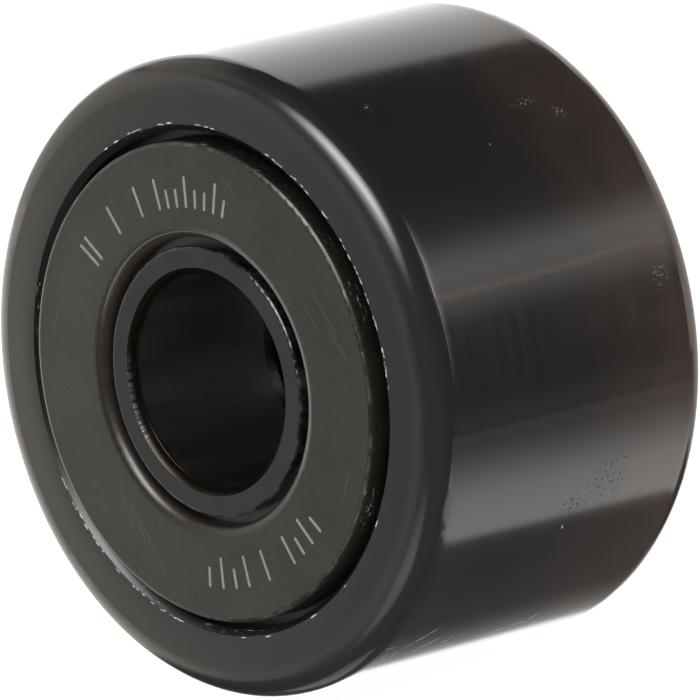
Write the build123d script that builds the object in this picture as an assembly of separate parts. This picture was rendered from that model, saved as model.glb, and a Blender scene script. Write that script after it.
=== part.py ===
from build123d import *
import math
import os

# Yoke type cam follower: a thick-walled roller that runs on a full complement of
# needle rollers around an inner ring, with an end plate pressed on at each end.
# Millimetres. The roller turns about the Y axis, its middle is the origin, +Z is up,
# and the front is the end at -Y. The two ends are mirror images of each other.

# Needle rollers
needle_count = 22
needle_diameter = 3.175         # 1/8 inch
needle_end_rounding = 0.35
needle_side_gap = 0.03          # between neighbouring needles
needle_end_gap = 0.15           # between a needle's end and an end plate
raceway_clearance = 0.025       # between the needles and each raceway

# Outer ring (the roller itself)
roller_diameter = 38.1          # 1 1/2 inch
roller_width = 22.225           # 7/8 inch
roller_corner_radius = 1.6
counterbore_edge_chamfer = 0.38
raceway_edge_chamfer = 0.4

# End plates
plate_thickness = 2.35
plate_proud = 0.59              # how far each plate stands out of the roller's end face
plate_overlap = 1.41            # how far a plate reaches out past the outer raceway
plate_rim_gap = 0.52            # between a plate's rim and the recess in the roller
plate_running_gap = 0.1         # between a plate and the roller, along the axis
plate_rim_rounding = 0.33       # on the outer face
plate_opening_rounding = 0.75   # on the outer face
plate_inner_chamfer = 0.2

# Inner ring
bore_diameter = 12.7            # 1/2 inch
bore_chamfer = 0.43
inner_ring_recess = 0.27        # how far its ends lie below the plates' outer faces
shoulder_height = 1.1           # from the inner raceway down to the seat of an end plate
spigot_step = 0.49              # from that seat down to the turned-down end
spigot_length = 0.83
spigot_rounding = 0.18
land_edge_chamfer = 0.3

# Lubrication passage in the inner ring
oil_groove_width = 1.6
oil_groove_depth = 0.5
oil_hole_diameter = 2.4

# No rounding or chamfer takes up more than this share of the wall that it is on
largest_edge_share = 0.45

# Radii, from the needles inwards and outwards
needle_radius = needle_diameter / 2
pitch_radius = (needle_diameter + needle_side_gap) / (2 * math.sin(math.pi / needle_count))
outer_raceway_radius = pitch_radius + needle_radius + raceway_clearance
inner_raceway_radius = pitch_radius - needle_radius - raceway_clearance
plate_radius = outer_raceway_radius + plate_overlap
counterbore_radius = plate_radius + plate_rim_gap
roller_radius = roller_diameter / 2
press_radius = inner_raceway_radius - shoulder_height
spigot_radius = press_radius - spigot_step
bore_radius = bore_diameter / 2

# Places along the axis, from the middle outwards
roller_face = roller_width / 2
plate_outer_face = roller_face + plate_proud
plate_inner_face = plate_outer_face - plate_thickness
counterbore_floor = plate_inner_face - plate_running_gap
inner_ring_face = plate_outer_face - inner_ring_recess
press_seat_end = inner_ring_face - spigot_length
needle_length = 2 * (plate_inner_face - needle_end_gap)


def eased(size, wall):
    """A rounding or chamfer of this size, or smaller where the wall is thin."""
    return min(size, largest_edge_share * wall)


def rod(radius, y_start, y_end):
    """A solid cylinder about the Y axis, from y_start to y_end."""
    middle = (y_start + y_end) / 2
    return Pos(0, middle, 0) * Rotation(90, 0, 0) * Cylinder(radius, y_end - y_start)


def circles(solid, radius, y_place):
    """The circular edges about the Y axis with this radius, at this place."""
    found = ShapeList()
    for edge in solid.edges().filter_by(GeomType.CIRCLE):
        centre = edge.arc_center
        on_axis = math.hypot(centre.X, centre.Z) < 1e-4
        if on_axis and abs(edge.radius - radius) < 1e-4 and abs(centre.Y - y_place) < 1e-4:
            found.append(edge)
    return found


def both_ends(solid, radius, reach):
    """The same circular edge at both ends."""
    return circles(solid, radius, -reach) + circles(solid, radius, reach)


def make_outer_ring():
    """Roller: cylindrical tread, counterbored ends and the outer raceway."""
    ring = rod(roller_radius, -roller_face, roller_face)
    ring -= rod(outer_raceway_radius, -roller_face, roller_face)
    ring -= rod(counterbore_radius, -roller_face, -counterbore_floor)
    ring -= rod(counterbore_radius, counterbore_floor, roller_face)
    wall = roller_radius - counterbore_radius
    ring = fillet(both_ends(ring, roller_radius, roller_face), eased(roller_corner_radius, wall))
    ring = chamfer(both_ends(ring, counterbore_radius, roller_face), eased(counterbore_edge_chamfer, wall))
    return chamfer(both_ends(ring, outer_raceway_radius, counterbore_floor), raceway_edge_chamfer)


def make_inner_ring():
    """Inner ring: raceway land, a press seat and a spigot at each end, bore and oil passage."""
    ring = rod(spigot_radius, -inner_ring_face, inner_ring_face)
    ring += rod(press_radius, -press_seat_end, press_seat_end)
    ring += rod(inner_raceway_radius, -plate_inner_face, plate_inner_face)
    ring -= rod(bore_radius, -inner_ring_face, inner_ring_face)
    ring -= rod(bore_radius + oil_groove_depth, -oil_groove_width / 2, oil_groove_width / 2)
    ring -= Pos(0, 0, inner_raceway_radius) * Cylinder(oil_hole_diameter / 2, inner_raceway_radius)
    wall = spigot_radius - bore_radius
    ring = fillet(both_ends(ring, spigot_radius, inner_ring_face), eased(spigot_rounding, wall))
    ring = chamfer(both_ends(ring, bore_radius, inner_ring_face), eased(bore_chamfer, wall))
    return chamfer(both_ends(ring, inner_raceway_radius, plate_inner_face), land_edge_chamfer)


def make_end_plate(side):
    """End plate: side is -1 for the front and 1 for the rear."""
    outer_y = side * plate_outer_face
    inner_y = side * plate_inner_face
    y_start = min(outer_y, inner_y)
    y_end = max(outer_y, inner_y)
    plate = rod(plate_radius, y_start, y_end) - rod(press_radius, y_start, y_end)
    plate = fillet(circles(plate, plate_radius, outer_y), plate_rim_rounding)
    plate = fillet(circles(plate, press_radius, outer_y), plate_opening_rounding)
    inner_edges = circles(plate, plate_radius, inner_y) + circles(plate, press_radius, inner_y)
    return chamfer(inner_edges, plate_inner_chamfer)


def make_needle(index):
    """One needle roller, at its own place around the pitch circle."""
    needle = rod(needle_radius, -needle_length / 2, needle_length / 2)
    needle = fillet(both_ends(needle, needle_radius, needle_length / 2), needle_end_rounding)
    angle = 2 * math.pi * index / needle_count
    return Pos(pitch_radius * math.cos(angle), 0, pitch_radius * math.sin(angle)) * needle


def make_nodes():
    """Every piece, by name."""
    nodes = {
        "outer_ring": make_outer_ring(),
        "inner_ring": make_inner_ring(),
        "end_plate_front": make_end_plate(-1),
        "end_plate_rear": make_end_plate(1),
    }
    for index in range(needle_count):
        nodes[f"needle_{index + 1:02d}"] = make_needle(index)
    return nodes


os.makedirs("parts", exist_ok=True)
for name, solid in make_nodes().items():
    export_step(solid, f"parts/{name}.step")
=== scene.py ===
"""Looks of a yoke type cam follower: black oxide steel, etched marks, soft studio light."""
import math
import random

import bmesh
import bpy
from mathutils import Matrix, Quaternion, Vector


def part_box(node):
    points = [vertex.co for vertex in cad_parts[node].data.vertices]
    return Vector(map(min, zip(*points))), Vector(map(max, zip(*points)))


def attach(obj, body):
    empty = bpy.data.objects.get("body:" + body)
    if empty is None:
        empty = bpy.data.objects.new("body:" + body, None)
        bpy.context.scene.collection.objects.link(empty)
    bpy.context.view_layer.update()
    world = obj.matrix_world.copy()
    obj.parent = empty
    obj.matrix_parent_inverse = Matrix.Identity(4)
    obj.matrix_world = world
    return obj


MM = 0.001

# Camera
camera_azimuth = 46.29
camera_elevation = 14.67
camera_distance = 0.9
camera_lens = 786.9
camera_sensor = 36.0
camera_aside = 0.151 * MM
camera_below = 0.13 * MM

# Studio
studio_reach = 1.5
floor_side = 4.0
floor_white = (0.36, 0.36, 0.36)
floor_glow = 0.95
surround_white = 1.0
warm_white = (1.0, 0.93, 0.86)
plain_white = (1.0, 0.99, 0.97)

# Steel colours
oxide_black = (0.0155, 0.0147, 0.0146)
# oxide_brown also colours the painted sheen on the roller's rear half
oxide_brown = (0.0400, 0.0280, 0.0235)
# Painted sheen colour for the roller's front corner
corner_sheen_grey = (0.0260, 0.0240, 0.0215)
plate_grey = (0.0108, 0.0108, 0.0078)
face_grey = (0.0088, 0.0084, 0.0062)
ring_blue_grey = (0.0056, 0.0058, 0.0061)
bare_steel = (0.36, 0.35, 0.33)
rust_brown = (0.105, 0.050, 0.030)
mouth_brown = (0.0400, 0.0310, 0.0220)
etched_grey = (0.27, 0.26, 0.205)
etched_dark = (0.13, 0.125, 0.105)
wall_grey = (0.0260, 0.0240, 0.0225)
pit_black = (0.006, 0.006, 0.006)
needle_dark = (0.42, 0.41, 0.40)
needle_light = (0.60, 0.59, 0.57)
chip_dark = (0.20, 0.19, 0.175)
# Painted glint: the chips' near white
chip_glint_white = (0.90, 0.88, 0.83)

# Etched marks on the front plate, and how far marks and chips stand off the steel
mark_inner_radius = 10.35 * MM
mark_outer_radius = 12.25 * MM
mark_width = 0.2 * MM
mark_end_steps = 8
mark_lift = 0.003 * MM

# Chips on the counterbore's front edge, painted near white as glints, with the least and most of each size
# in mm
edge_radius = 15.19 * MM
chip_inset = (0.01, 0.10)
chip_half_arc = (0.10, 0.27)
chip_half_wide = (0.026, 0.052)
chip_corners = 7
chip_seed = 7

# Where they gather, most of them on the sides where the light glints: (first angle, last angle, number of
# chips)
CHIP_GLINT_ARCS = ((8, 72, 40), (88, 128, 14), (208, 262, 26), (280, 350, 6))

# Where looks change on the roller, in mm from the axis or from mid-width, and how far it falls away in mm
face_from, face_full = 18.0, 16.8
satin_from, satin_full = 18.95, 17.2
# Painted sheen: the tread turns browner between these two places, towards the rear edge
rear_sheen_from, rear_sheen_full = -1.5, 10.6
# Painted sheen: the front corner turns greyer between these two places
corner_sheen_from, corner_sheen_full = -9.5, -10.6
recess_edge = (14.8, 15.1)
recess_chip_depth = 10.6
face_fall_from, face_fall_to, face_fall = 15.0, 18.4, 0.19
tread_fall_from, tread_fall_to, tread_fall = 9.1, 10.0, 0.027

# The rust line: its angle in degrees, its slant in degrees per mm, its half width in degrees, its ends in mm
rust_angle, rust_slant = 25.0, 0.075
rust_half_outer, rust_half_inner = 1.15, 0.2
rust_end_from, rust_end_full = 9.6, 9.0

# Where looks change on the end plates, in mm from the axis or from mid-width, and angles in degrees
opening_from, opening_full = 9.1, 8.85
# Painted highlight line round the opening: its radius, then the angle it centres on and where it fades out
rim_highlight_radius = 8.96
rim_highlight_angle, rim_highlight_end, rim_highlight_full = 72.0, 100.0, 75.0
plate_worn_radius = 14.12
worn_width = 0.14
plate_rim = (14.2, 14.4)
plate_chip_depth = 10.5
plate_fall_from, plate_fall_to, plate_fall = 8.5, 15.0, 0.15

# Where looks change on the inner ring, in mm from the axis or from mid-width, and angles in degrees
ring_worn_radius = 8.0
mouth_radius = 6.78
mouth_width = 0.42
mouth_from, mouth_full = 6.82, 6.76
end_from, end_full = 10.7, 11.0
wall_from, wall_full = 6.5, 6.4
# Painted glints on the bore's mouth: where they start and are full, then the angle of the lit side and where
# they fade out
mouth_glint_from, mouth_glint_full = 6.5, 6.72
mouth_glint_angle, mouth_glint_end, mouth_glint_bright = 198.0, 30.0, 10.0

# How fast the bore's mouth rounds over, as mm of depth for each square mm
mouth_rounding = 1.1

# Tread marks: (angle, across, half length, half width, tilt) in degrees and mm
PALE_STROKES = (
    (-46.5, -6.6, 1.45, 0.045, 48),
    (-50.0, -5.3, 1.10, 0.04, 52),
    (-52.0, -8.6, 0.95, 0.04, 12),
    (-51.5, -7.9, 0.85, 0.05, 20),
    (-47.5, -8.9, 0.40, 0.035, 84),
    (-50.5, -3.6, 0.75, 0.035, 30),
    (-53.0, -3.0, 0.60, 0.04, 75),
    (-52.5, 0.9, 0.80, 0.04, 66),
    (-51.5, 2.6, 1.00, 0.035, 88),
    (-50.0, 3.4, 0.45, 0.06, 20),
    (-53.8, 4.1, 0.50, 0.05, 8),
    (-23.4, 0.6, 0.16, 0.05, 5),
)

# Clouds of small tread marks: (angle, across, half arc, half width) in degrees and mm
PALE_CLOUDS = (
    (19.3, 8.0, 1.0, 0.75),
    (57.0, 4.3, 0.45, 1.2),
    (53.5, 6.2, 0.7, 0.6),
    (49.9, -0.25, 0.14, 0.5),
    (64.0, -6.4, 0.5, 0.4),
)
DARK_CLOUDS = (
    (-15.0, 3.2, 1.6, 2.2),
    (-18.5, 1.0, 0.8, 1.6),
    (-11.5, 4.2, 0.7, 1.0),
)

# Faint scratches on the plates: (x, z, half length, half width, tilt) in mm and degrees
PLATE_STROKES = (
    (10.1, 6.3, 1.9, 0.030, -48),
    (9.2, 5.6, 1.3, 0.025, -49),
    (11.4, 4.5, 1.6, 0.030, -46),
    (-5.6, -9.4, 1.8, 0.030, -58),
    (-6.4, -9.0, 1.5, 0.025, -60),
    (-4.6, -10.3, 1.1, 0.030, -56),
    (-3.4, -11.9, 0.9, 0.025, -62),
    (2.0, 12.4, 1.0, 0.025, -40),
    (-12.6, 1.5, 0.9, 0.025, 68),
    (12.2, -3.6, 1.2, 0.025, 70),
)

# How a panel's light varies, as (share of the way up, strength)
TABLE_RIGHT = ((0, 2.1), (0.3, 2.0), (0.42, 1.5), (0.55, 0.8), (0.68, 0.35), (0.8, 0.17), (1, 0.08))
WINDOW_RIGHT = (
    (0, 0),
    (0.11, 0.1),
    (0.33, 0.8),
    (0.5, 1.15),
    (0.6, 1.2),
    (0.73, 0.62),
    (0.9, 0.05),
    (1, 0),
)
KEY_FRONT = ((0, 1.5), (0.25, 5.0), (0.5, 17.0), (0.75, 10.0), (1, 1.5))


class Shade:
    """A small builder for one procedural material."""

    def __init__(self, name):
        self.material = bpy.data.materials.new(name)
        self.material.use_nodes = True
        self.tree = self.material.node_tree
        self.shader = self.tree.nodes["Principled BSDF"]

    def node(self, kind, inputs=None, **settings):
        made = self.tree.nodes.new(kind)
        for key, value in settings.items():
            setattr(made, key, value)
        for key, value in (inputs or {}).items():
            self.put(made.inputs[key], value)
        return made

    def put(self, socket, value):
        if isinstance(value, bpy.types.NodeSocket):
            self.tree.links.new(value, socket)
        else:
            socket.default_value = value

    def finish(self, colour, roughness, normal):
        """Sets the shader's colour, roughness and normal, and returns the material."""
        self.colour(self.shader.inputs["Base Color"], colour)
        self.put(self.shader.inputs["Roughness"], roughness)
        self.put(self.shader.inputs["Normal"], normal)
        return self.material

    def math(self, operation, first, second=0.0, clamp=False):
        made = self.node("ShaderNodeMath", {0: first, 1: second}, operation=operation)
        made.use_clamp = clamp
        return made.outputs[0]

    def times(self, first, *others):
        """All the values multiplied together."""
        for value in others:
            first = self.math("MULTIPLY", first, value)
        return first

    def most(self, first, *others):
        """The largest of the values."""
        for value in others:
            first = self.math("MAXIMUM", first, value)
        return first

    def size(self, value):
        return self.math("ABSOLUTE", value)

    def off(self, value, middle):
        """How far a value is from a middle."""
        return self.size(self.math("SUBTRACT", value, middle))

    def ramp(self, value, low, high, to_low=0.0, to_high=1.0):
        made = self.node("ShaderNodeMapRange", {"Value": value, "From Min": low, "From Max": high})
        made.inputs["To Min"].default_value = to_low
        made.inputs["To Max"].default_value = to_high
        made.interpolation_type = "SMOOTHSTEP"
        return made.outputs[0]

    def mix(self, share, first, second):
        made = self.node("ShaderNodeMix", data_type="RGBA")
        self.put(made.inputs["Factor"], share)
        self.colour(made.inputs["A"], first)
        self.colour(made.inputs["B"], second)
        return made.outputs["Result"]

    def colour(self, socket, value):
        self.put(socket, (*value, 1.0) if isinstance(value, tuple) else value)

    def noise(self, place, scale, detail=3.0, rough=0.5):
        made = self.node("ShaderNodeTexNoise", {"Vector": place, "Scale": scale, "Detail": detail})
        made.inputs["Roughness"].default_value = rough
        return made.outputs["Fac"]

    def stretched(self, place, scale):
        made = self.node("ShaderNodeVectorMath", {0: place, 1: scale}, operation="MULTIPLY")
        return made.outputs[0]

    def combined(self, x, y, z=0.0):
        return self.node("ShaderNodeCombineXYZ", {"X": x, "Y": y, "Z": z}).outputs[0]

    def parts(self, place):
        return self.node("ShaderNodeSeparateXYZ", {"Vector": place}).outputs

    def bump(self, height, depth, normal=None):
        made = self.node("ShaderNodeBump", {"Height": height, "Distance": depth, "Strength": 1.0})
        if normal is not None:
            self.put(made.inputs["Normal"], normal)
        return made.outputs["Normal"]


def tinted(colour, share):
    """A colour made lighter or darker."""
    return tuple(share * part for part in colour)


def turned_places(shade):
    """Object place in mm, and its radius, angle in degrees and distance along the axis."""
    place = shade.node("ShaderNodeTexCoord").outputs["Object"]
    place = shade.stretched(place, (1 / MM, 1 / MM, 1 / MM))
    parts = shade.parts(place)
    square = shade.math("ADD", shade.math("POWER", parts["X"], 2.0), shade.math("POWER", parts["Z"], 2.0))
    angle = shade.times(shade.math("ARCTAN2", parts["Z"], parts["X"]), 180 / math.pi)
    return place, shade.math("SQRT", square), angle, parts["Y"]


def specks(shade, place, cell, size, share):
    """Small dots scattered over a surface: one in some of the cells of a grid."""
    made = shade.node("ShaderNodeTexVoronoi", {"Vector": place, "Scale": 1 / cell})
    near = shade.ramp(made.outputs["Distance"], size / cell, 0.4 * size / cell)
    pick = shade.node("ShaderNodeSeparateColor", {"Color": made.outputs["Color"]}).outputs[0]
    return shade.times(near, shade.math("LESS_THAN", pick, share))


def stroke(shade, surface, centre, halves, tilt, wander):
    """One soft stroke on a flat surface, as a mask."""
    made = shade.node("ShaderNodeMapping", {"Vector": surface}, vector_type="TEXTURE")
    made.inputs["Location"].default_value = (*centre, 0.0)
    made.inputs["Rotation"].default_value = (0.0, 0.0, math.radians(tilt))
    made.inputs["Scale"].default_value = (*halves, 1.0)
    parts = shade.parts(made.outputs[0])
    along = shade.ramp(shade.size(parts["X"]), 1.0, 0.5)
    across = shade.ramp(shade.size(shade.math("ADD", parts["Y"], wander)), 1.0, 0.3)
    return shade.times(along, across)


def tread_strokes(shade, surface, radius_mm):
    """The pale scratches on the tread, all as one mask."""
    wander = shade.ramp(shade.noise(surface, 1.4, 2.0), 0.25, 0.75, -1.2, 1.2)
    mask = 0.0
    for angle, across, long, wide, tilt in PALE_STROKES:
        centre = (math.radians(angle) * radius_mm, across)
        mask = shade.most(stroke(shade, surface, centre, (long, wide * 1.6), tilt, wander), mask)
    gate = shade.ramp(shade.noise(surface, 7.0, 3.0), 0.34, 0.56, 0.15, 1.0)
    return shade.times(mask, gate)


def clouds(shade, surface, radius_mm, places, grain):
    """Clouds of small marks around some places on the tread, as one mask."""
    mask = 0.0
    for angle, across, arc, wide in places:
        made = shade.node("ShaderNodeMapping", {"Vector": surface}, vector_type="TEXTURE")
        made.inputs["Location"].default_value = (math.radians(angle) * radius_mm, across, 0.0)
        made.inputs["Scale"].default_value = (arc, wide, 1.0)
        reach = shade.node("ShaderNodeVectorMath", {0: made.outputs[0]}, operation="LENGTH")
        mask = shade.most(shade.ramp(reach.outputs["Value"], 1.1, 0.2), mask)
    return shade.times(mask, shade.ramp(grain, 0.56, 0.62))


def unrolled(shade, angle, across, radius_mm):
    """The tread laid flat: arc length in x and distance along the axis in y, in mm."""
    return shade.combined(shade.times(angle, math.radians(radius_mm)), across)


def rust_line(shade, angle, across, surface):
    """A thin blotchy line of rust that wanders across the tread."""
    wander = shade.ramp(shade.noise(surface, 0.25, 2.0), 0.3, 0.7, -0.5, 0.5)
    middle = shade.math("ADD", shade.times(across, rust_slant), rust_angle)
    off = shade.off(angle, shade.math("ADD", middle, wander))
    thin = shade.ramp(off, rust_half_outer, rust_half_inner)
    broken = shade.ramp(shade.noise(surface, 6.0, 5.0, 0.8), 0.38, 0.68, 0.05, 0.9)
    tread = shade.ramp(shade.size(across), rust_end_from, rust_end_full)
    return shade.times(thin, broken, tread)


def chipped_edge(shade, angle, radius, across, edge, depth):
    """Bare glints where the oxide is chipped along a round edge, drawn out along it."""
    inner, outer = edge
    near = shade.times(shade.ramp(radius, outer + 0.15, outer), shade.ramp(radius, inner - 0.1, inner))
    out = shade.ramp(shade.size(across), depth, depth + 0.15)
    along = shade.combined(shade.times(angle, 0.34), across, radius)
    drawn = shade.stretched(along, (1.0, 9.0, 9.0))
    broken = shade.ramp(shade.noise(drawn, 1.0, 3.0, 0.7), 0.62, 0.68)
    gather = shade.ramp(shade.noise(along, 0.16, 1.0), 0.45, 0.6)
    return shade.times(near, out, broken, gather)


def roller_colour(shade, radius, across, cloud):
    """Black oxide with a painted sheen that turns it browner towards the rear edge and greyer on the front
    corner, and greyer on the front face.
    """
    # Painted sheen: browner towards the rear edge
    rear = shade.ramp(across, rear_sheen_from, rear_sheen_full, 0.0, 1.15)
    brown = shade.times(rear, shade.ramp(cloud, 0.3, 0.62, 0.6, 1.0))
    colour = shade.mix(shade.ramp(cloud, 0.35, 0.7, 0.0, 0.1), oxide_black, oxide_brown)
    # Painted sheen: greyer on the front corner
    colour = shade.mix(shade.ramp(across, corner_sheen_from, corner_sheen_full, 0.0, 0.8), colour, corner_sheen_grey)
    colour = shade.mix(brown, colour, oxide_brown)
    return shade.mix(shade.ramp(radius, face_from, face_full), colour, face_grey)


def roller_relief(shade, radius, across, lines, cloud, pits):
    """Grinding lines and pits, on a face and a tread that fall away a little at their edges."""
    relief = shade.math("ADD", shade.times(lines, 0.55), shade.times(cloud, 0.25))
    relief = shade.math("SUBTRACT", relief, shade.times(pits, 1.2))
    relief = shade.bump(relief, 0.0012 * MM)
    face = shade.ramp(radius, face_fall_from, face_fall_to, 0.0, -face_fall)
    tread = shade.ramp(shade.size(across), tread_fall_from, tread_fall_to, 0.0, -tread_fall)
    return shade.bump(shade.math("ADD", face, tread), MM, relief)


def roller_gloss(shade, radius, lines, pale, pits):
    """Shiny on the tread, satin on the face, and dull in worn places and pits."""
    gloss = shade.ramp(lines, 0.3, 0.7, 0.10, 0.16)
    gloss = shade.math("ADD", gloss, shade.ramp(radius, satin_from, satin_full, 0.0, 0.2))
    worn = shade.most(shade.times(pale, 0.24), shade.times(pits, 0.48))
    return shade.math("ADD", gloss, worn, clamp=True)


def roller_steel(reach):
    """Glossy black oxide on the roller, with grinding lines, rust, scuffs and chipped edges."""
    shade = Shade("roller_black_oxide")
    place, radius, angle, across = turned_places(shade)
    radius_mm = reach / MM
    surface = unrolled(shade, angle, across, radius_mm)
    cloud = shade.noise(place, 0.22, 4.0)
    fine = shade.noise(surface, 5.0, 3.0, 0.7)
    lines = shade.noise(shade.stretched(place, (0.12, 7.0, 0.12)), 1.0, 3.0, 0.6)

    scratches = shade.times(tread_strokes(shade, surface, radius_mm), 0.8)
    scuffs = shade.times(clouds(shade, surface, radius_mm, PALE_CLOUDS, fine), 0.6)
    dust = shade.times(specks(shade, place, 1.9, 0.045, 0.2), 0.5)
    chips = chipped_edge(shade, angle, radius, across, recess_edge, recess_chip_depth)
    pale = shade.most(scratches, scuffs, dust, chips)
    pits = clouds(shade, surface, radius_mm, DARK_CLOUDS, fine)

    rust = shade.times(rust_line(shade, angle, across, surface), 0.8)
    colour = shade.mix(rust, roller_colour(shade, radius, across, cloud), rust_brown)
    colour = shade.mix(pale, colour, bare_steel)
    colour = shade.mix(pits, colour, pit_black)
    gloss = roller_gloss(shade, radius, lines, pale, pits)
    return shade.finish(colour, gloss, roller_relief(shade, radius, across, lines, cloud, pits))


def plate_strokes(shade, place):
    """Straight faint scratches on a plate, as one mask."""
    parts = shade.parts(place)
    surface = shade.combined(parts["X"], parts["Z"])
    wander = shade.ramp(shade.noise(surface, 0.5, 2.0), 0.25, 0.75, -0.5, 0.5)
    mask = 0.0
    for x, z, long, wide, tilt in PLATE_STROKES:
        mask = shade.most(stroke(shade, surface, (x, z), (long, wide), tilt, wander), mask)
    return mask


def ground_grain(shade, place):
    """Fine crossing grinding lines on a face."""
    first = shade.noise(shade.stretched(place, (9.0, 3.0, 1.2)), 1.0, 3.0, 0.65)
    second = shade.noise(shade.stretched(place, (1.5, 3.0, 10.0)), 1.0, 3.0, 0.65)
    return shade.times(shade.math("ADD", first, second), 0.5)


def edge_wear(shade, place, radius, edge):
    """A ring of worn oxide along a round edge."""
    ring = shade.ramp(shade.off(radius, edge), worn_width, 0.0)
    return shade.times(ring, shade.ramp(shade.noise(place, 0.9, 4.0, 0.7), 0.42, 0.7, 0.0, 0.2))


def painted_rim_highlight(shade, radius, angle):
    """A painted highlight: a thin pale line round the plate's opening, which fades out at the lower left."""
    line = shade.ramp(shade.off(radius, rim_highlight_radius), 0.07, 0.02, 0.0, 0.2)
    return shade.times(line, shade.ramp(shade.off(angle, rim_highlight_angle), rim_highlight_end, rim_highlight_full))


def plate_steel():
    """Satin ground face of a plate, with scratches, specks, chips, worn edges and a painted highlight line
    round its opening.
    """
    shade = Shade("plate_ground_oxide")
    place, radius, angle, across = turned_places(shade)
    cloud = shade.noise(place, 0.3, 4.0)
    grain = ground_grain(shade, place)
    colour = shade.mix(shade.ramp(cloud, 0.3, 0.7, 0.0, 0.25), plate_grey, oxide_brown)
    colour = shade.mix(shade.ramp(grain, 0.42, 0.62, 0.0, 0.3), colour, tinted(plate_grey, 2.1))
    colour = shade.mix(shade.ramp(radius, opening_from, opening_full, 0.0, 0.55), colour, oxide_brown)

    dents = shade.times(plate_strokes(shade, place), 0.2)
    worn = edge_wear(shade, place, radius, plate_worn_radius)
    dots = shade.times(specks(shade, place, 2.3, 0.055, 0.12), 0.5)
    chips = chipped_edge(shade, angle, radius, across, plate_rim, plate_chip_depth)
    # pale also carries the painted highlight line round the opening
    pale = shade.most(dents, painted_rim_highlight(shade, radius, angle), worn, dots, chips)
    colour = shade.mix(pale, colour, bare_steel)

    gloss = shade.ramp(grain, 0.35, 0.65, 0.26, 0.36)
    relief = shade.bump(shade.math("SUBTRACT", grain, shade.times(dents, 0.8)), 0.0035 * MM)
    fall = shade.ramp(radius, plate_fall_from, plate_fall_to, 0.0, -plate_fall)
    return shade.finish(colour, gloss, shade.bump(fall, MM, relief))


def wall_colour(shade, place):
    """The bore's wall, with faint lines drawn along it."""
    drawn = shade.noise(shade.stretched(place, (0.3, 0.05, 0.3)), 1.0, 4.0, 0.6)
    return shade.mix(shade.ramp(drawn, 0.42, 0.68), tinted(oxide_black, 0.75), wall_grey)


def mouth_colour(shade, radius, angle):
    """The bore's mouth, with brown lines turned round it."""
    ringed = shade.stretched(shade.combined(shade.times(angle, 0.03), radius), (1.0, 12.0, 1.0))
    turning = shade.noise(ringed, 1.0, 3.0, 0.6)
    return shade.mix(shade.ramp(turning, 0.42, 0.62), tinted(mouth_brown, 0.45), mouth_brown)


def mouth_dashes_painted_glints(shade, radius, angle, mouth):
    """Short bare dashes along the mouth's outer edge, kept to the lit side as a painted highlight."""
    fine = shade.noise(shade.combined(angle, radius), 0.7, 4.0, 0.7)
    turned = shade.math("FLOORED_MODULO", angle, 360.0)
    # Painted highlight: the dashes show only on the lit side
    side = shade.ramp(shade.off(turned, mouth_glint_angle), mouth_glint_end, mouth_glint_bright)
    edge = shade.ramp(radius, mouth_glint_from, mouth_glint_full)
    return shade.times(edge, mouth, side, shade.ramp(fine, 0.45, 0.6, 0.0, 0.7))


def mouth_relief(shade, radius, grain):
    """Fine grain, and a mouth that rounds over into the bore."""
    inset = shade.math("MAXIMUM", shade.math("SUBTRACT", mouth_radius, radius), 0.0)
    inset = shade.math("MINIMUM", inset, mouth_width)
    return shade.bump(shade.times(inset, inset, -mouth_rounding), MM, shade.bump(grain, 0.0025 * MM))


def inner_ring_steel():
    """Dark smooth oxide on the inner ring, browner and rougher at the bore's mouth, with painted glints on
    one side of it.
    """
    shade = Shade("inner_ring_oxide")
    place, radius, angle, across = turned_places(shade)
    cloud = shade.noise(place, 0.35, 4.0)
    grain = ground_grain(shade, place)
    end = shade.ramp(shade.size(across), end_from, end_full)
    mouth = shade.times(shade.ramp(radius, mouth_from, mouth_full), end)
    wall = shade.ramp(radius, wall_from, wall_full)
    colour = shade.mix(shade.ramp(cloud, 0.3, 0.7, 0.0, 0.3), ring_blue_grey, oxide_black)
    colour = shade.mix(wall, colour, wall_colour(shade, place))
    colour = shade.mix(mouth, colour, mouth_colour(shade, radius, angle))

    worn = edge_wear(shade, place, radius, ring_worn_radius)
    dots = shade.times(specks(shade, place, 1.7, 0.045, 0.05), 0.5)
    # pale also carries the mouth's painted glints
    pale = shade.most(mouth_dashes_painted_glints(shade, radius, angle, mouth), worn, dots)
    colour = shade.mix(pale, colour, bare_steel)

    shade.put(shade.shader.inputs["Metallic"], shade.times(mouth, 0.8))
    gloss = shade.ramp(grain, 0.35, 0.65, 0.17, 0.27)
    gloss = shade.math("ADD", gloss, shade.times(shade.most(wall, mouth), 0.1))
    return shade.finish(colour, gloss, mouth_relief(shade, radius, grain))


def needle_steel():
    """Bright lapped steel with faint running lines."""
    shade = Shade("needle_lapped_steel")
    place = turned_places(shade)[0]
    lines = shade.noise(shade.stretched(place, (0.6, 8.0, 0.6)), 1.0, 3.0, 0.6)
    colour = shade.mix(shade.noise(place, 0.8, 3.0), needle_dark, needle_light)
    shade.shader.inputs["Metallic"].default_value = 1.0
    return shade.finish(colour, shade.ramp(lines, 0.3, 0.7, 0.10, 0.22), shade.bump(lines, 0.001 * MM))


def etched_steel():
    """Pale etched strokes, slightly uneven as a marking laser leaves them."""
    shade = Shade("etched_mark")
    place = turned_places(shade)[0]
    grain = shade.noise(place, 9.0, 3.0, 0.7)
    colour = shade.mix(shade.ramp(grain, 0.3, 0.7), tinted(etched_grey, 0.72), etched_grey)
    colour = shade.mix(shade.ramp(shade.noise(place, 1.2, 3.0), 0.35, 0.65, 0.0, 0.35), colour, etched_dark)
    return shade.finish(colour, shade.ramp(grain, 0.3, 0.7, 0.5, 0.75), shade.bump(grain, 0.004 * MM))


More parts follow.
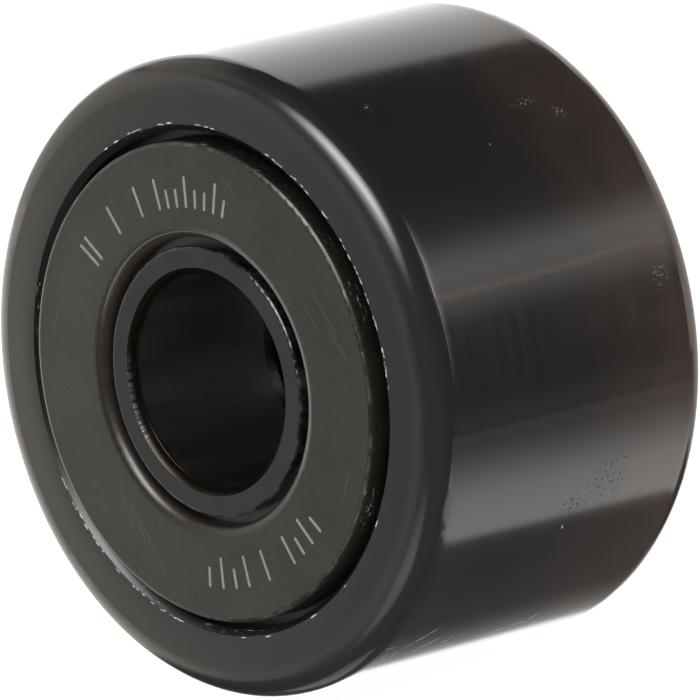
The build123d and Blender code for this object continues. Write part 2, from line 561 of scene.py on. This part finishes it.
def chip_glint_steel():
    """Bare nicked steel, painted bright as glints, and uneven."""
    shade = Shade("bare_chip_painted_glint")
    place = turned_places(shade)[0]
    grain = shade.noise(place, 6.0, 3.0, 0.7)
    colour = shade.mix(grain, chip_dark, chip_glint_white)
    return shade.finish(colour, shade.ramp(grain, 0.3, 0.7, 0.3, 0.55), shade.bump(grain, 0.006 * MM))


def set_material(piece, material):
    for entry in piece.material_slots:
        entry.material = material
    if not piece.material_slots:
        piece.data.materials.append(material)


def dress_nodes(nodes):
    """Gives every CAD node its procedural material."""
    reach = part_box("outer_ring")[1].x
    set_material(nodes["outer_ring"], roller_steel(reach))
    plate = plate_steel()
    set_material(nodes["end_plate_front"], plate)
    set_material(nodes["end_plate_rear"], plate)
    set_material(nodes["inner_ring"], inner_ring_steel())
    lapped = needle_steel()
    for name, node in nodes.items():
        if name.startswith("needle_"):
            set_material(node, lapped)


def add_object(name, mesh, material):
    """Turns a bmesh into an object of the scene, with one material."""
    data = bpy.data.meshes.new(name)
    mesh.to_mesh(data)
    mesh.free()
    data.materials.append(material)
    made = bpy.data.objects.new(name, data)
    bpy.context.scene.collection.objects.link(made)
    return made


def add_bar(mesh, angle, inner, outer, level):
    """One flat stroke with round ends that runs outward from the axis."""
    out = Vector((math.cos(math.radians(angle)), 0.0, math.sin(math.radians(angle))))
    side = Vector((-out.z, 0.0, out.x))
    half = mark_width / 2
    points = []
    for centre, start in ((outer - half, -90), (inner + half, 90)):
        for step in range(mark_end_steps + 1):
            turn = math.radians(start + 180 * step / mark_end_steps)
            points.append(out * (centre + half * math.cos(turn)) + side * (half * math.sin(turn)))
    mesh.faces.new([mesh.verts.new(point + Vector((0.0, level, 0.0))) for point in points])


def mark_piece(name, bars, level, material):
    """A group of etched bars on the front plate, as (angle, start share, end share)."""
    mesh = bmesh.new()
    span = mark_outer_radius - mark_inner_radius
    for angle, start, end in bars:
        inner = mark_inner_radius + start * span
        add_bar(mesh, angle, inner, mark_inner_radius + end * span, level)
    bmesh.ops.recalc_face_normals(mesh, faces=mesh.faces)
    piece = add_object(name, mesh, material)
    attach(piece, "fixed_core")


def make_marks():
    """Plain tick groups in place of the etched text."""
    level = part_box("end_plate_front")[0].y - mark_lift
    material = etched_steel()
    upper = [(angle, 0.0, 1.0) for angle in (148.5, 145.5, 132.0, 119.0)]
    upper += [(110.0 - 4.2 * n, 0.0, 1.0 if n % 3 == 0 else 0.6) for n in range(8)]
    lower = [(273.0 + 5.4 * n, 0.0 if n % 2 else 0.35, 1.0) for n in range(4)]
    lower += [(298.0, 0.0, 1.0)]
    lower += [(310.0 + 5.0 * n, 0.35 if n % 2 else 0.0, 1.0) for n in range(4)]
    mark_piece("etched_ticks_upper", upper, level, material)
    mark_piece("etched_ticks_lower", lower, level, material)


def add_chip(mesh, dice, start, end, level):
    """One tiny bare flake between two angles, longer along the edge than across it."""
    angle = math.radians(dice.uniform(start, end))
    reach = edge_radius + dice.uniform(*chip_inset) * MM
    half_arc = dice.uniform(*chip_half_arc) * MM / reach
    half_wide = dice.uniform(*chip_half_wide) * MM
    points = []
    for step in range(chip_corners):
        turn = 2 * math.pi * (step + dice.uniform(-0.25, 0.25)) / chip_corners
        out = reach + half_wide * math.sin(turn)
        along = angle + half_arc * math.cos(turn)
        points.append(Vector((out * math.cos(along), level, out * math.sin(along))))
    mesh.faces.new([mesh.verts.new(point) for point in points])


def make_chips_and_glints():
    """Tiny bare flakes along the counterbore's front edge, where the oxide is nicked, painted near white as
    glints and gathered mostly where the light glints.
    """
    dice = random.Random(chip_seed)
    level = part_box("outer_ring")[0].y - mark_lift
    mesh = bmesh.new()
    for start, end, count in CHIP_GLINT_ARCS:
        for _ in range(count):
            add_chip(mesh, dice, start, end, level)
    bmesh.ops.recalc_face_normals(mesh, faces=mesh.faces)
    piece = add_object("edge_chips_painted_glints", mesh, chip_glint_steel())
    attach(piece, "roller")


def sky_direction(azimuth, elevation):
    """Unit vector: azimuth from behind the object towards its right, and elevation up."""
    turn, rise = math.radians(azimuth), math.radians(elevation)
    return Vector((math.sin(turn) * math.cos(rise), math.cos(turn) * math.cos(rise), math.sin(rise)))


def level_curve(shade, value, stops, peak):
    """The stops' levels as a curve of straight runs, as shares of their peak."""
    curve = shade.node("ShaderNodeFloatCurve", {"Value": value})
    points = curve.mapping.curves[0].points
    while len(points) < len(stops):
        points.new(0.5, 0.5)
    for point, (at, level) in zip(points, stops):
        point.location = (at, level / peak)
        point.handle_type = "VECTOR"
    curve.mapping.update()
    return curve.outputs[0]


def glow_material(name, stops, colour, soft):
    """Light that varies from a panel's bottom to its top, and fades at its sides."""
    shade = Shade(name)
    shade.tree.nodes.remove(shade.shader)
    parts = shade.parts(shade.node("ShaderNodeTexCoord").outputs["Generated"])
    peak = max(level for _, level in stops)
    fade = shade.ramp(shade.math("PINGPONG", parts["X"], 0.5), 0.0, soft)
    strength = shade.times(level_curve(shade, parts["Y"], stops, peak), fade, peak)
    glow = shade.node("ShaderNodeEmission", {"Color": (*colour, 1.0), "Strength": strength})
    shade.tree.links.new(glow.outputs[0], shade.tree.nodes["Material Output"].inputs["Surface"])
    return shade.material


def flat_mesh(half_wide, half_high, level=0.0):
    """A plain rectangle."""
    mesh = bmesh.new()
    corners = ((-1, -1), (1, -1), (1, 1), (-1, 1))
    mesh.faces.new([mesh.verts.new((half_wide * a, half_high * b, level)) for a, b in corners])
    return mesh


def panel(name, azimuth, elevation, wide, high, stops, colour=plain_white, soft=0.15, lean=0.0):
    """A studio light panel that faces the object, its size given in degrees."""
    half_wide = studio_reach * math.tan(math.radians(wide / 2))
    half_high = studio_reach * math.tan(math.radians(high / 2))
    glow = glow_material(name + "_glow", stops, colour, soft)
    light = add_object(name, flat_mesh(half_wide, half_high), glow)
    away = sky_direction(azimuth, elevation)
    light.location = away * studio_reach
    roll = Quaternion((0.0, 0.0, 1.0), math.radians(lean))
    light.rotation_euler = (away.to_track_quat("Z", "Y") @ roll).to_euler()
    light.visible_camera = False
    light.visible_diffuse = False
    light.visible_shadow = False


def make_panels():
    """The soft lights that the black steel mirrors."""
    panel("backdrop_left", -46, 1.5, 66, 71, ((0, 2.2), (0.45, 2.0), (1, 1.14)), soft=0.1)
    panel("backdrop_middle", 4, 2, 68, 56, ((0, 0.9), (0.5, 1.3), (1, 1.1)), warm_white, 0.1)
    panel("wall_left", -112, 7, 76, 30, ((0, 1.22), (0.5, 1.02), (1, 0.95)), warm_white, 0.2)
    panel("wall_left_high", -98, 38, 70, 30, ((0, 0.8), (0.6, 0.6), (1, 0.1)), warm_white, 0.25)
    panel("table_left", -100, -23, 66, 30, ((0, 1.4), (0.4, 2.2), (1, 2.4)), warm_white, 0.25)
    panel("fill_front_left", -143, -14, 40, 46, ((0, 0.5), (0.5, 0.66), (1, 0.55)), plain_white, 0.2)
    panel("table_right", 44, -25, 50, 34, TABLE_RIGHT, soft=0.02)
    panel("table_under", 0, -58, 110, 30, ((0, 0.08), (0.5, 0.09), (1, 0.12)), soft=0.02)
    panel("table_edge_left", -27, -40, 26, 12, ((0, 0.1), (0.4, 0.3), (0.75, 0.5), (1, 0.8)), soft=0.1)
    panel("table_below", -60, -72, 26, 26, ((0, 0.6), (0.5, 0.9), (1, 0.9)), warm_white, 0.2)
    panel("window_right", 43, 25, 30, 26, WINDOW_RIGHT, soft=0.05)
    panel("strip_right_low", 55.5, 13, 4.2, 30, ((0, 0.5), (0.6, 14.0), (1, 50.0)), soft=0.3, lean=-9)
    panel("strip_right_high", 49.5, 35, 4.2, 24, ((0, 50.0), (0.5, 36.0), (1, 3.0)), soft=0.3, lean=-30)
    panel("key_front", 172, 45, 64, 42, KEY_FRONT, soft=0.42)
    panel("table_front", 178, -40, 34, 26, ((0, 1.0), (0.5, 1.5), (1, 1.0)))


def make_floor():
    """A plain pale table, lit from within a little so that its shadows stay faint."""
    shade = Shade("floor_white")
    shade.colour(shade.shader.inputs["Base Color"], floor_white)
    shade.shader.inputs["Roughness"].default_value = 0.9
    shade.colour(shade.shader.inputs["Emission Color"], (1.0, 1.0, 1.0))
    shade.shader.inputs["Emission Strength"].default_value = floor_glow
    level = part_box("outer_ring")[0].z
    floor = add_object("floor", flat_mesh(floor_side / 2, floor_side / 2, level), shade.material)
    floor.visible_glossy = False
    floor.visible_shadow = False


def make_surround():
    """Even white light all round, which the gloss doesn't mirror."""
    world = bpy.data.worlds.new("surround")
    bpy.context.scene.world = world
    world.use_nodes = True
    back = world.node_tree.nodes["Background"]
    back.inputs["Color"].default_value = (1.0, 1.0, 1.0, 1.0)
    back.inputs["Strength"].default_value = surround_white
    world.cycles_visibility.glossy = False


def make_camera():
    """A long lens at the photograph's angle."""
    turn, rise = math.radians(camera_azimuth), math.radians(camera_elevation)
    back = Vector((math.sin(turn) * math.cos(rise), -math.cos(turn) * math.cos(rise), math.sin(rise)))
    right = Vector((math.cos(turn), math.sin(turn), 0.0))
    up = back.cross(right)
    data = bpy.data.cameras.new("camera")
    data.lens = camera_lens
    data.sensor_width = camera_sensor
    camera = bpy.data.objects.new("camera", data)
    bpy.context.scene.collection.objects.link(camera)
    camera.location = back * camera_distance + right * camera_aside - up * camera_below
    camera.rotation_euler = back.to_track_quat("Z", "Y").to_euler()
    bpy.context.scene.camera = camera


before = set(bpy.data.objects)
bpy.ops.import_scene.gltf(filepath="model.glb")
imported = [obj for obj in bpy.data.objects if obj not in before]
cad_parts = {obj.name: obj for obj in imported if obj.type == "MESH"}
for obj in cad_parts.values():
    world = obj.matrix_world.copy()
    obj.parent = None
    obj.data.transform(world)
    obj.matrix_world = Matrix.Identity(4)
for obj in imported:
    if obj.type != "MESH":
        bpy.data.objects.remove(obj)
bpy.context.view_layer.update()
bpy.context.scene.view_settings.view_transform = "Standard"
make_camera()
dress_nodes(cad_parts)
make_marks()
make_chips_and_glints()
make_floor()
make_surround()
make_panels()
